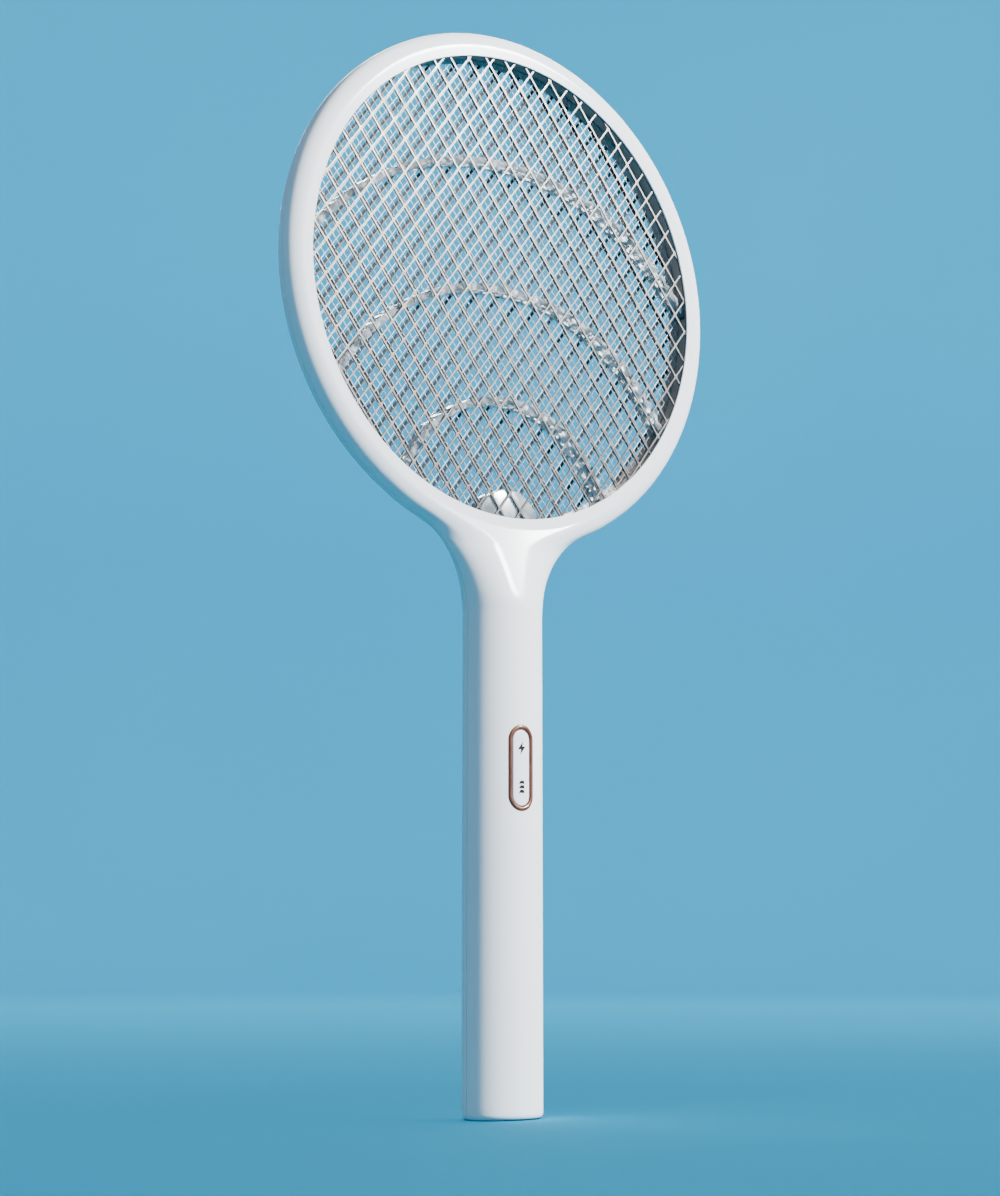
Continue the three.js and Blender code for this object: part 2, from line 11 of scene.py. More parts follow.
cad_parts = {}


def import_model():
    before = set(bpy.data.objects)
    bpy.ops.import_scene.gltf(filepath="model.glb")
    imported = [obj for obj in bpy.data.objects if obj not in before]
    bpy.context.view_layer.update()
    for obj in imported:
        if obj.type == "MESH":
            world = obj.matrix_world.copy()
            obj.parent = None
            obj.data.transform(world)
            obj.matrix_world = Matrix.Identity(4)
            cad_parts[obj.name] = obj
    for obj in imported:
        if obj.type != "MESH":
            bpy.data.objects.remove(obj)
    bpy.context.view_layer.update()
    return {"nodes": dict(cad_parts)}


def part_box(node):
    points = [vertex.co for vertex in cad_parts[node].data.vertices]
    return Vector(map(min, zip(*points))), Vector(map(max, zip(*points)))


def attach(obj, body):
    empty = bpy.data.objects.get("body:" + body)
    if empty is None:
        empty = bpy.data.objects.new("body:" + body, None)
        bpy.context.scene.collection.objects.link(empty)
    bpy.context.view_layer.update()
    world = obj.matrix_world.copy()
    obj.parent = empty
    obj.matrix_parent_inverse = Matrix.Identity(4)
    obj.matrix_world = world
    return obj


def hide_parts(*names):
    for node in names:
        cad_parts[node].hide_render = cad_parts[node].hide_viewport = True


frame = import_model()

MM = 0.001

# ---------------------------------------------------------------- sizes, in millimetres


def node_box_mm(node):
    low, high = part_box(node)
    return [v / MM for v in low], [v / MM for v in high]


casing_high = node_box_mm("front_shell")[1]
net_low, net_high = node_box_mm("front_net")
bezel_low, bezel_high = node_box_mm("button_bezel")
frame_high = node_box_mm("net_frame_rear")[1]

OUTER_R = casing_high[0]
HEAD_Z = casing_high[2] - OUTER_R
RIM_R = frame_high[0]  # the nets and the dark frames reach this far out
OPENING_R = 98.3
BAND_R = 102.85  # outer radius of the flat band round the opening
DEPTH = 6.16  # half depth of the head frame
LIP = 0.6  # thickness of the band over the nets
WALL = 2.0
SIDE_POWER = 2.7  # superellipse power of the frame's rounded side
SPLIT = 0.15  # from the middle plane to each casing half
EDGE = 0.2  # small chamfers along the split and the opening

HANDLE_A = 18.1
HANDLE_B = 12.75
END_ROUND = 2.5
FILLET_R = 44.0
FACET_TIP_Z = 206.4
NECK_REACH = 20.0  # how far above the frame's outline the neck's form goes on
NECK_SINK = 0.045  # times the height squared, how far the neck's side sinks inside the frame
NECK_THINNING = 0.195  # half depth lost per mm of height
THINNING_START = 1.3  # above the facet's tip
THINNING_SOFTNESS = 2.5
NECK_MIN_DEPTH = DEPTH - 1
JOIN_SOFTNESS = (0.5, 3.5, 5.0)  # at the split, what is added further out, and over what depth
CREASE_SOFTNESS = 0.25

FLANGE = 1.5  # the bezel's flange inside is this much wider all round
FLANGE_Y = (-8.3, -9.1)
BEZEL_H = bezel_high[2] - bezel_low[2] - 2 * FLANGE
BEZEL_W = bezel_high[0] - bezel_low[0] - 2 * FLANGE
BEZEL_OVERLAP = 0.15  # the trim's bead covers the edge of its hole by this much
BEZEL_LINE = 1.95  # width of the bead
BEAD_HEIGHT = 0.5
BEAD_ROOT = 0.1  # the bead's edges lie this far under the casing's surface
BUTTON_Z = (bezel_high[2] + bezel_low[2]) / 2
BUTTON_GAP = 0.15
BUTTON_EDGE = 0.45
BUTTON_BACK_Y = -8.0

CELL_W = 10.83  # one diamond of the outer nets
CELL_H = 14.05
NET_NODE_Z = -3.63  # a strand crossing on the centre line, from the head's centre
FRONT_NET_Y = (net_low[1] + net_high[1]) / 2

# ---------------------------------------------------------------- mesh helpers


def mesh_object(name, points_mm, faces, material, smooth_angle=35.0):
    """A piece from points in millimetres, faces pointing out, shaded smooth up to an angle."""
    mesh = bpy.data.meshes.new(name)
    mesh.from_pydata([tuple(c * MM for c in p) for p in points_mm], [], [tuple(f) for f in faces])
    piece = bpy.data.objects.new(name, mesh)
    bpy.context.scene.collection.objects.link(piece)
    tidy_mesh(piece, smooth_angle)
    mesh.materials.append(material)
    return piece


def tidy_mesh(piece, smooth_angle=35.0):
    """Merges doubled points and sets normals and smooth shading."""
    work = bmesh.new()
    work.from_mesh(piece.data)
    bmesh.ops.remove_doubles(work, verts=work.verts, dist=1e-6)
    bmesh.ops.dissolve_degenerate(work, edges=work.edges, dist=1e-7)
    bmesh.ops.recalc_face_normals(work, faces=work.faces)
    limit = math.radians(smooth_angle)
    for face in work.faces:
        face.smooth = True
    for edge in work.edges:
        edge.smooth = len(edge.link_faces) == 2 and edge.calc_face_angle(0.0) < limit
    work.to_mesh(piece.data)
    work.free()
    piece.data.update()


def apply_modifiers(piece):
    graph = bpy.context.evaluated_depsgraph_get()
    mesh = bpy.data.meshes.new_from_object(piece.evaluated_get(graph))
    piece.modifiers.clear()
    piece.data = mesh


def cut_away(piece, cutter):
    step = piece.modifiers.new("cut", "BOOLEAN")
    step.operation = "DIFFERENCE"
    step.solver = "EXACT"
    step.object = cutter
    apply_modifiers(piece)
    bpy.data.objects.remove(cutter)


def loop_faces(loops, count):
    """Quads between stacked loops of count points each."""
    faces = []
    for loop in range(loops - 1):
        for i in range(count):
            a = loop * count + i
            b = loop * count + (i + 1) % count
            faces.append((a, b, b + count, a + count))
    return faces


def turned(name, profile, material):
    """A closed profile of (radius, y) points turned round the head's axis."""
    steps = 192
    points = []
    for radius, y in profile:
        for i in range(steps):
            turn = 2 * math.pi * i / steps
            points.append((radius * math.sin(turn), y, HEAD_Z - radius * math.cos(turn)))
    faces = loop_faces(len(profile), steps)
    last = (len(profile) - 1) * steps
    for i in range(steps):
        j = (i + 1) % steps
        faces.append((last + i, last + j, j, i))
    return mesh_object(name, points, faces, material)


def prism_y(name, outline, y0, y1, material, smooth_angle=35.0):
    """An outline of (x, z) points, thickened from y0 to y1."""
    count = len(outline)
    points = [(x, y0, z) for x, z in outline] + [(x, y1, z) for x, z in outline]
    faces = [tuple(range(count)), tuple(range(2 * count - 1, count - 1, -1))]
    for i in range(count):
        j = (i + 1) % count
        faces.append((i, j, count + j, count + i))
    return mesh_object(name, points, faces, material, smooth_angle)


# ---------------------------------------------------------------- materials


def new_material(name):
    material = bpy.data.materials.new(name)
    material.use_nodes = True
    nodes = material.node_tree.nodes
    return material, nodes, material.node_tree.links, nodes["Principled BSDF"]


def object_coordinates(nodes, links, scale=(1, 1, 1)):
    place = nodes.new("ShaderNodeTexCoord")
    mapping = nodes.new("ShaderNodeMapping")
    mapping.inputs["Scale"].default_value = scale
    links.new(place.outputs["Object"], mapping.inputs["Vector"])
    return mapping.outputs["Vector"]


def noise(nodes, links, vector, scale, detail):
    texture = nodes.new("ShaderNodeTexNoise")
    texture.inputs["Scale"].default_value = scale
    texture.inputs["Detail"].default_value = detail
    links.new(vector, texture.inputs["Vector"])
    return texture.outputs["Fac"]


def ramp(nodes, links, value, stops):
    """Colours by value; stops are (position, colour)."""
    node = nodes.new("ShaderNodeValToRGB")
    elements = node.color_ramp.elements
    for _ in range(len(stops) - 2):
        elements.new(0.5)
    for element, (position, colour) in zip(elements, stops):
        element.position = position
        element.color = (*colour, 1.0)
    links.new(value, node.inputs["Fac"])
    return node.outputs["Color"]


def grey(value):
    return (value, value, value)


def add_bump(nodes, links, shader, height, strength, distance):
    bump = nodes.new("ShaderNodeBump")
    bump.inputs["Strength"].default_value = strength
    bump.inputs["Distance"].default_value = distance
    links.new(height, bump.inputs["Height"])
    links.new(bump.outputs["Normal"], shader.inputs["Normal"])


def plastic(name, colour, roughness, spread=0.03, grain=900.0, bump=0.12, coat=0.0, specular=0.5):
    """Moulded plastic: faint tone drift, fine orange peel and uneven gloss."""
    material, nodes, links, shader = new_material(name)
    vector = object_coordinates(nodes, links)
    drift = noise(nodes, links, vector, 14.0, 2.0)
    dark = tuple(c * (1 - spread) for c in colour)
    light = tuple(min(1.0, c * (1 + spread * 0.5)) for c in colour)
    links.new(ramp(nodes, links, drift, [(0.3, dark), (0.7, light)]), shader.inputs["Base Color"])
    fine = noise(nodes, links, vector, grain, 2.0)
    gloss = ramp(nodes, links, fine, [(0.2, grey(roughness * 0.88)), (0.8, grey(roughness * 1.12))])
    links.new(gloss, shader.inputs["Roughness"])
    shader.inputs["Specular IOR Level"].default_value = specular
    shader.inputs["Coat Weight"].default_value = coat
    shader.inputs["Coat Roughness"].default_value = 0.12
    add_bump(nodes, links, shader, fine, bump, 0.00004)
    return material


def metal(name, colour, roughness, spread=0.12, grain=700.0, stretch=(1, 1, 1), metallic=1.0,
          coat=0.0):
    """Bare or plated metal: streaked tone and gloss along one direction."""
    material, nodes, links, shader = new_material(name)
    vector = object_coordinates(nodes, links, stretch)
    streak = noise(nodes, links, vector, grain, 3.0)
    dark = tuple(c * (1 - spread) for c in colour)
    links.new(ramp(nodes, links, streak, [(0.3, dark), (0.7, colour)]), shader.inputs["Base Color"])
    gloss = ramp(nodes, links, streak, [(0.25, grey(roughness * 0.75)), (0.75, grey(roughness * 1.3))])
    links.new(gloss, shader.inputs["Roughness"])
    shader.inputs["Metallic"].default_value = metallic
    shader.inputs["Coat Weight"].default_value = coat
    shader.inputs["Coat Roughness"].default_value = 0.1
    add_bump(nodes, links, shader, streak, 0.1, 0.00003)
    return material


def clear_plastic(name):
    """Clear moulded plastic, cloudy in places, with flow marks."""
    material, nodes, links, shader = new_material(name)
    vector = object_coordinates(nodes, links)
    flow = noise(nodes, links, vector, 160.0, 3.0)
    tone = ramp(nodes, links, flow, [(0.38, (0.34, 0.37, 0.38)), (0.62, (0.88, 0.90, 0.90))])
    links.new(tone, shader.inputs["Base Color"])
    gloss = ramp(nodes, links, flow, [(0.3, grey(0.06)), (0.7, grey(0.22))])
    links.new(gloss, shader.inputs["Roughness"])
    shader.inputs["Transmission Weight"].default_value = 0.6
    shader.inputs["IOR"].default_value = 1.49
    add_bump(nodes, links, shader, flow, 0.5, 0.0002)
    return material


CASING = plastic("casing_white", (0.82, 0.82, 0.82), 0.5, coat=0.35, specular=0.15)
CAP_WHITE = plastic("button_white", (0.82, 0.83, 0.84), 0.30, grain=1200.0)
DARK_FRAME = plastic("frame_dark", (0.31, 0.24, 0.215), 0.45, spread=0.15, specular=0.3)
NET = metal("net_metal", (0.095, 0.094, 0.090), 0.36, spread=0.16, grain=260.0)
# painted shade: near black for the strands' sides and each net's inner face, in place of the shade they
# fall in
NET_PAINTED_SHADE = plastic("net_painted_shade", (0.022, 0.023, 0.025), 0.6, spread=0.35, specular=0.2)
WIRE = metal("wire_metal", (0.55, 0.57, 0.56), 0.45, spread=0.12, grain=400.0)
CLEAR = clear_plastic("spacer_clear")
COPPER = metal("bezel_copper", (0.14, 0.038, 0.014), 0.42, spread=0.2, grain=500.0, metallic=0.3,
               coat=0.4)
STEEL = metal("plated_steel", (0.55, 0.56, 0.57), 0.32, stretch=(1, 1, 8))
SCREW = metal("screw_zinc", (0.58, 0.59, 0.60), 0.28, grain=1500.0)
INK = plastic("icon_black", (0.006, 0.006, 0.007), 0.6, spread=0.3, specular=0.15)
BLACK = plastic("black_plastic", (0.02, 0.02, 0.022), 0.5, spread=0.3, grain=1500.0)
BOARD = plastic("board_green", (0.03, 0.16, 0.08), 0.35, spread=0.35, grain=1800.0)
FERRITE = plastic("ferrite", (0.05, 0.05, 0.055), 0.75, spread=0.3, grain=2500.0, bump=0.4)
WINDING = plastic("winding_tape", (0.55, 0.38, 0.05), 0.4, spread=0.15)
FILM = plastic("film_red", (0.34, 0.05, 0.035), 0.3, spread=0.2, coat=0.3)
TAN = plastic("resistor_tan", (0.52, 0.38, 0.23), 0.5, spread=0.2)
WRAP = plastic("cell_wrap", (0.035, 0.14, 0.40), 0.3, spread=0.15, coat=0.2)
RED_LEAD = plastic("lead_red", (0.45, 0.03, 0.02), 0.55, spread=0.15)
BLACK_LEAD = plastic("lead_black", (0.02, 0.02, 0.022), 0.55, spread=0.3)
LED = plastic("led_white", (0.80, 0.76, 0.55), 0.3, spread=0.08)

# ---------------------------------------------------------------- the casing as a field


def smooth_min(a, b, k):
    """The smaller value, blended where the two differ by less than k."""
    h = np.maximum(k - np.abs(a - b), 0) / k
    return np.minimum(a, b) - h * h * k / 4


def smooth_max(a, b, k):
    return -smooth_min(-a, -b, k)


FILLET_X = HANDLE_A + FILLET_R
FILLET_DROP = math.sqrt((OUTER_R + FILLET_R) ** 2 - FILLET_X ** 2)
FILLET_Z = HEAD_Z - FILLET_DROP
TANGENT_Z = HEAD_Z - FILLET_DROP * OUTER_R / (OUTER_R + FILLET_R)


def neck_half_width(z):
    """The handle's half width, then the fillet up to the frame, then sinking inside the frame."""
    fillet = FILLET_X - np.sqrt(np.maximum(FILLET_R ** 2 - (z - FILLET_Z) ** 2, 1.0))
    circle = np.sqrt(np.maximum(OUTER_R ** 2 - (HEAD_Z - z) ** 2, 1.0))
    sunk = np.maximum(circle - NECK_SINK * (z - TANGENT_Z) ** 2, HANDLE_A)
    return np.where(z <= FILLET_Z, HANDLE_A, np.where(z <= TANGENT_Z, fillet, sunk))


def neck_half_depth(z):
    """Thins steadily above the handle, after a soft start at the facet's tip."""
    rise = z - FACET_TIP_Z - THINNING_START
    lost = NECK_THINNING * (rise + np.hypot(rise, THINNING_SOFTNESS)) / 2
    return np.maximum(HANDLE_B - lost, NECK_MIN_DEPTH)


SIDE_A = OUTER_R - OPENING_R
SIDE_B = DEPTH / (1 - ((BAND_R - OPENING_R) / SIDE_A) ** SIDE_POWER) ** (1 / SIDE_POWER)
FACET_SLOPE = (HANDLE_B - DEPTH) / (HEAD_Z - BAND_R - FACET_TIP_Z)


def casing_field(p):
    """Below zero inside the casing's outer form; p holds x, y, z in its last axis."""
    x, y, z = np.abs(p[..., 0]), np.abs(p[..., 1]), p[..., 2]
    r = np.hypot(x, HEAD_Z - z)
    across = np.maximum(r - OPENING_R, 0) / SIDE_A
    ring = ((across ** SIDE_POWER + (y / SIDE_B) ** SIDE_POWER) ** (1 / SIDE_POWER) - 1) * SIDE_B
    w, b = neck_half_width(z), neck_half_depth(z)
    q = np.sqrt((x / w) ** 2 + (y / b) ** 2) + 1e-9
    slope = np.hypot(x / (w * w * q), y / (b * b * q)) + 1e-9
    neck = np.maximum((q - 1) / slope, z - TANGENT_Z - NECK_REACH)
    at_split, further, over = JOIN_SOFTNESS
    body = smooth_min(ring, neck, at_split + further * np.clip(y / over, 0, 1))
    facet = y - DEPTH - FACET_SLOPE * np.maximum(r - BAND_R, 0)
    return smooth_max(body, facet, CREASE_SOFTNESS)


def field_gradient(p, h=0.02):
    parts = []
    for axis in range(3):
        step = np.zeros(3)
        step[axis] = h
        parts.append((casing_field(p + step) - casing_field(p - step)) / (2 * h))
    return np.stack(parts, -1)


def onto_surface(p, rounds, hold_y=False):
    """Moves points along the field's slope onto the surface."""
    for _ in range(rounds):
        gradient = field_gradient(p)
        if hold_y:
            gradient[..., 1] = 0
        size = np.maximum((gradient ** 2).sum(-1, keepdims=True), 1e-6)
        step = casing_field(p)[..., None] * gradient / size
        p = p - np.clip(step, -1.5, 1.5)
    return p


# ---------------------------------------------------------------- casing shells

COLUMNS_RING = 150  # round the frame, outside the neck
COLUMNS_NECK = 64  # across the neck and the handle
NECK_TURN = math.radians(36)
ROWS_SIDE = 16  # down the frame's rounded side
ROWS_OUTLINE = 50  # from there down the neck's outline
ROWS_HANDLE = 60
ROWS_END = 6  # round the handle's end
BULGE = 6.0  # how much deeper the first guess at the rows gets towards the handle
OUTLINE_SPREAD = 0.8  # below 1 sets the outline's rows closer together towards the handle
BAND_ROWS = 4
RELAX_ROUNDS = 260
HANDLE_TOP = 196.0  # the neck's rows end here
SEAM_Y = SPLIT + EDGE


def ring_side_section():
    """(radius, depth) down the frame's rounded side, from the band's edge to the seam."""
    points = []
    start = math.asin(((BAND_R - OPENING_R) / SIDE_A) ** (SIDE_POWER / 2))
    for i in range(1, ROWS_SIDE + 1):
        turn = start + (math.pi / 2 - start) * i / ROWS_SIDE
        out = OPENING_R + SIDE_A * math.sin(turn) ** (2 / SIDE_POWER)
        depth = SIDE_B * max(math.cos(turn), 0.0) ** (2 / SIDE_POWER)
        points.append((out, max(depth, SEAM_Y)))
    return points


def around(radius, depth, turns):
    """Points round the head on the front side, from the bottom."""
    return np.stack([radius * np.sin(turns), np.full(len(turns), -depth),
                     HEAD_Z - radius * np.cos(turns)], -1)


def handle_row(z, inset=0.0):
    """Points across the front half of the handle's oval at height z, from -X to +X."""
    a, b = HANDLE_A - inset, HANDLE_B - inset
    low = math.asin(SEAM_Y / b)
    turns = np.linspace(math.pi + low, 2 * math.pi - low, COLUMNS_NECK + 1)
    return np.stack([a * np.cos(turns), b * np.sin(turns), np.full(len(turns), z)], -1)


class Surface:
    """Outer points with the inner point behind each, and quads over them."""

    def __init__(self):
        self.outer = []
        self.inner = []
        self.faces = []

    def add(self, points, inner):
        first = len(self.outer)
        self.outer.extend(points)
        self.inner.extend(inner)
        return list(range(first, len(self.outer)))

    def join(self, row_a, row_b):
        for i in range(len(row_a) - 1):
            self.faces.append((row_a[i], row_a[i + 1], row_b[i + 1], row_b[i]))

    def solid(self, side):
        """Points and faces of the closed shell; side -1 is the front, 1 its mirror."""
        count = len(self.outer)
        points = np.array(self.outer + self.inner)
        points[:, 1] *= -side
        faces = list(self.faces) + [tuple(v + count for v in reversed(f)) for f in self.faces]
        uses = {}
        for face in self.faces:
            for i in range(4):
                a, b = face[i], face[(i + 1) % 4]
                uses.setdefault((min(a, b), max(a, b)), []).append((a, b))
        for users in uses.values():
            if len(users) == 1:
                a, b = users[0]
                faces.append((b, a, a + count, b + count))
        return points, faces


def behind(points):
    """Points on the wall's inner side, straight in from the surface."""
    gradient = field_gradient(points)
    unit = gradient / np.linalg.norm(gradient, axis=-1, keepdims=True)
    return points - unit * WALL


def seam_rows(points):
    """The chamfer along the casing's split: outer points on the split and inner ones level."""
    flat = field_gradient(points)
    flat[:, 1] = 0
    unit = flat / np.linalg.norm(flat, axis=-1, keepdims=True)
    edge = points - unit * EDGE
    deep = points - unit * WALL
    edge[:, 1] = -SPLIT
    deep[:, 1] = -SPLIT
    return edge, deep


def neck_patch(side_section):
    """Rows from the band's edge down to the handle: a rough guess, then spread over the surface."""
    rows = ROWS_SIDE + ROWS_OUTLINE
    turns = np.linspace(-NECK_TURN, NECK_TURN, COLUMNS_NECK + 1)
    across = np.linspace(-1, 1, COLUMNS_NECK + 1)
    grid = np.zeros((rows + 1, COLUMNS_NECK + 1, 3))
    grid[0] = around(BAND_R, DEPTH, turns)
    grid[rows] = handle_row(HANDLE_TOP)
    outline_top = HEAD_Z - side_section[-1][0] * math.cos(NECK_TURN)
    for k in range(1, rows):
        if k <= ROWS_SIDE:
            radius, depth = side_section[k - 1]
            end = np.array([radius * math.sin(NECK_TURN), -depth, HEAD_Z - radius * math.cos(NECK_TURN)])
        else:
            part = (k - ROWS_SIDE) / ROWS_OUTLINE
            z = outline_top + (HANDLE_TOP - outline_top) * part ** OUTLINE_SPREAD
            end = np.array([float(neck_half_width(np.array(z))), -SEAM_Y, z])
        share = k / rows
        middle_z = grid[0][COLUMNS_NECK // 2][2] * (1 - share) + HANDLE_TOP * share
        bend = np.abs(across) ** (2 - share)
        grid[k, :, 0] = end[0] * np.sin(across * math.pi / 2 * share + across * (1 - share))
        grid[k, :, 0] *= end[0] / grid[k, -1, 0]
        bulge = DEPTH + BULGE * share - abs(end[1])
        grid[k, :, 1] = end[1] - bulge * np.sqrt(1 - across ** 2 * 0.999)
        grid[k, :, 2] = middle_z + (end[2] - middle_z) * bend
        grid[k, 0] = end * (-1, 1, 1)
        grid[k, -1] = end
    outline = slice(ROWS_SIDE + 1, rows)
    for column in (0, -1):
        grid[outline, column] = onto_surface(grid[outline, column], 4, hold_y=True)
    inside = grid[1:-1, 1:-1]
    for _ in range(RELAX_ROUNDS):
        inside[:] = (grid[:-2, 1:-1] + grid[2:, 1:-1] + grid[1:-1, :-2] + grid[1:-1, 2:]) / 4
        inside[:] = onto_surface(inside, 1)
    inside[:] = onto_surface(inside, 6)
    return grid


def casing_surface():
    """One casing half as a single sheet of quads: band, neck, frame side, handle and seam."""
    surface = Surface()
    side_section = ring_side_section()
    ring_turns = np.linspace(NECK_TURN, 2 * math.pi - NECK_TURN, COLUMNS_RING + 1)[1:-1]
    neck_turns = np.linspace(-NECK_TURN, NECK_TURN, COLUMNS_NECK + 1)
    all_turns = np.concatenate([neck_turns, ring_turns])

    # the lip's edge and the flat band, all the way round
    lip_depth = DEPTH - LIP
    band = [(OPENING_R, DEPTH - EDGE), (OPENING_R + EDGE, DEPTH)]
    width = BAND_R - OPENING_R - EDGE
    band += [(OPENING_R + EDGE + width * i / BAND_ROWS, DEPTH) for i in range(1, BAND_ROWS + 1)]
    loops = []
    for radius, depth in band:
        inner = around(radius, lip_depth, all_turns)
        loop = surface.add(around(radius, depth, all_turns), inner)
        loops.append(loop + loop[:1])
    for a, b in zip(loops, loops[1:]):
        surface.join(a, b)
    band_edge = loops[-1]
    neck_part = band_edge[:COLUMNS_NECK + 1]
    ring_part = band_edge[COLUMNS_NECK:]

    # the neck, from the band's edge down to the handle
    grid = neck_patch(side_section)
    rows = [neck_part]
    for k in range(1, len(grid)):
        rows.append(surface.add(grid[k], behind(grid[k])))
    for a, b in zip(rows, rows[1:]):
        surface.join(a, b)

    # the frame's rounded side, between the neck's two ends
    last = ring_part
    ends = [(rows[k][-1], rows[k][0]) for k in range(1, ROWS_SIDE + 1)]
    for (radius, depth), (right, left) in zip(side_section, ends):
        points = around(radius, depth, ring_turns)
        middle = surface.add(points, behind(points))
        loop = [right] + middle + [left]
        surface.join(last, loop)
        last = loop

    # the handle, down to its rounded end
    previous = rows[-1]
    for z in np.linspace(HANDLE_TOP, END_ROUND, ROWS_HANDLE)[1:]:
        row = surface.add(handle_row(z), handle_row(z, WALL))
        surface.join(previous, row)
        previous = row
    for i in range(1, ROWS_END + 1):
        turn = i / ROWS_END * math.pi / 2
        back = END_ROUND * (1 - math.cos(turn))
        z = END_ROUND * (1 - math.sin(turn))
        row = surface.add(handle_row(z, back), handle_row(z, END_ROUND + 1))
        surface.join(previous, row)
        previous = row

    # the chamfer where the two halves meet
    seam = boundary_path(surface, lambda p: abs(p[1] + SEAM_Y) < 1e-3)
    edge, deep = seam_rows(np.array([surface.outer[i] for i in seam]))
    for k, i in enumerate(seam):
        z = surface.outer[i][2]
        if z < END_ROUND - 1e-6:
            deep[k][0] = math.copysign(HANDLE_A - END_ROUND - 1, deep[k][0])
    surface.join(seam, surface.add(edge, deep))
    return surface


def boundary_path(surface, wanted):
    """The open path of boundary points that a test picks, in order."""
    count = {}
    for face in surface.faces:
        for i in range(4):
            key = frozenset((face[i], face[(i + 1) % 4]))
            count[key] = count.get(key, 0) + 1
    links = {}
    for key, uses in count.items():
        a, b = tuple(key)
        if uses == 1 and wanted(surface.outer[a]) and wanted(surface.outer[b]):
            links.setdefault(a, []).append(b)
            links.setdefault(b, []).append(a)
    start = min((i for i in links if len(links[i]) == 1), key=lambda i: surface.outer[i][0])
    path = [start]
    while True:
        onward = [i for i in links[path[-1]] if len(path) < 2 or i != path[-2]]
        if not onward:
            return path
        path.append(onward[0])


def pill_outline(width, height):
    """(x, z) points round an upright pill centred on the button."""
    steps = 24
    r = width / 2
    straight = height / 2 - r
    points = []
    for start, centre in ((0.0, straight), (math.pi, -straight)):
        for i in range(steps + 1):
            turn = start + math.pi * i / steps
            points.append((r * math.cos(turn), BUTTON_Z + centre + r * math.sin(turn)))
    return points


HOLE_GAP = 0.08  # round the bezel
SCREW_GAP = 0.3  # round each screw head
RECESS = 1.4  # the screw holes start this far below the top of each head
HOLE_END = 5  # the bezel's hole stops this far from the middle plane
OUTSIDE = 20  # clear of the casing

surface = casing_surface()
front = mesh_object("casing_front", *surface.solid(-1), CASING, 40)
hole = pill_outline(BEZEL_W + 2 * HOLE_GAP, BEZEL_H + 2 * HOLE_GAP)
cut_away(front, prism_y("bezel_hole", hole, -OUTSIDE, -HOLE_END, CASING))
tidy_mesh(front, 40)
rear = mesh_object("casing_rear", *surface.solid(1), CASING, 40)
for i in range(1, 5):
    low, high = node_box_mm(f"screw_{i}")
    x, z = (low[0] + high[0]) / 2, (low[2] + high[2]) / 2
    radius = (high[0] - low[0]) / 2 + SCREW_GAP
    ring = [(x + radius * math.cos(t), z + radius * math.sin(t))
            for t in np.linspace(0, 2 * math.pi, 33)[:-1]]
    cut_away(rear, prism_y("screw_hole", ring, high[1] - RECESS, OUTSIDE, CASING))
tidy_mesh(rear, 40)
for piece, node in ((front, "front_shell"), (rear, "rear_shell")):
    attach(piece, "casing")
    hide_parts(node)

# ---------------------------------------------------------------- nets


NET_THICKNESS = 0.6
NET_REACH = RIM_R - 0.2
LEAST_CELL = 0.7  # a rim cell whose opening reaches in by less than this is left out
CROWN = 0.02  # the strands are this much higher along their middle
ROUNDED = 0.09  # share of a cell's side taken by each rounded corner


def diamond_net(name, y, strand):
    """Flat strands round diamond cells with rounded corners, cut off at the net's rim."""
    points = []
    faces = []
    half_w, half_h = CELL_W / 2, CELL_H / 2
    side = math.hypot(half_w, half_h)
    inset = strand / 2
    hole_w = half_w - inset * side / half_h
    hole_h = half_h - inset * side / half_w
    rhomb = [(1, 0), (0, 1), (-1, 0), (0, -1)]
    outer_loop = []
    inner_loop = []
    for k in range(4):
        here, before, after = rhomb[k], rhomb[k - 1], rhomb[(k + 1) % 4]
        for part, (toward, amount) in enumerate(((before, ROUNDED), (here, 0.0), (after, ROUNDED))):
            ox = here[0] + (toward[0] - here[0]) * amount
            oz = here[1] + (toward[1] - here[1]) * amount
            outer_loop.append((ox * half_w, oz * half_h))
            pull = 1 - (ROUNDED / 2 if part == 1 else 0.0)
            inner_loop.append((ox * hole_w * pull, oz * hole_h * pull))
    count = len(outer_loop)
    rows = int(2 * NET_REACH / half_h) + 3
    half = NET_THICKNESS / 2
    for row in range(-rows, rows + 1):
        for column in range(-rows, rows + 1):
            if (row + column) % 2:
                continue
            cx = column * half_w
            cz = NET_NODE_Z + half_h + row * half_h
            if all(math.hypot(cx + px, cz + pz) > NET_REACH - LEAST_CELL for px, pz in inner_loop):
                continue
            base = len(points)
            levels = ((outer_loop, -half - CROWN), (inner_loop, -half),
                      (inner_loop, half), (outer_loop, half + CROWN))
            for loop, depth in levels:
                for px, pz in loop:
                    gx, gz = cx + px, cz + pz
                    r = math.hypot(gx, gz)
                    if r > NET_REACH:
                        gx, gz = gx * NET_REACH / r, gz * NET_REACH / r
                    points.append((gx, y + depth, HEAD_Z + gz))
            for level in range(3):
                for i in range(count):
                    j = (i + 1) % count
                    a = base + level * count
                    faces.append((a + i, a + j, a + count + j, a + count + i))
    piece = mesh_object(name, points, faces, NET, 30)
    close_rim(piece)
    # paints shade: the strand sides and the inner face get the near-black material
    paint_shade_on_strand_sides(piece, 1 if y > 0 else -1)
    return piece


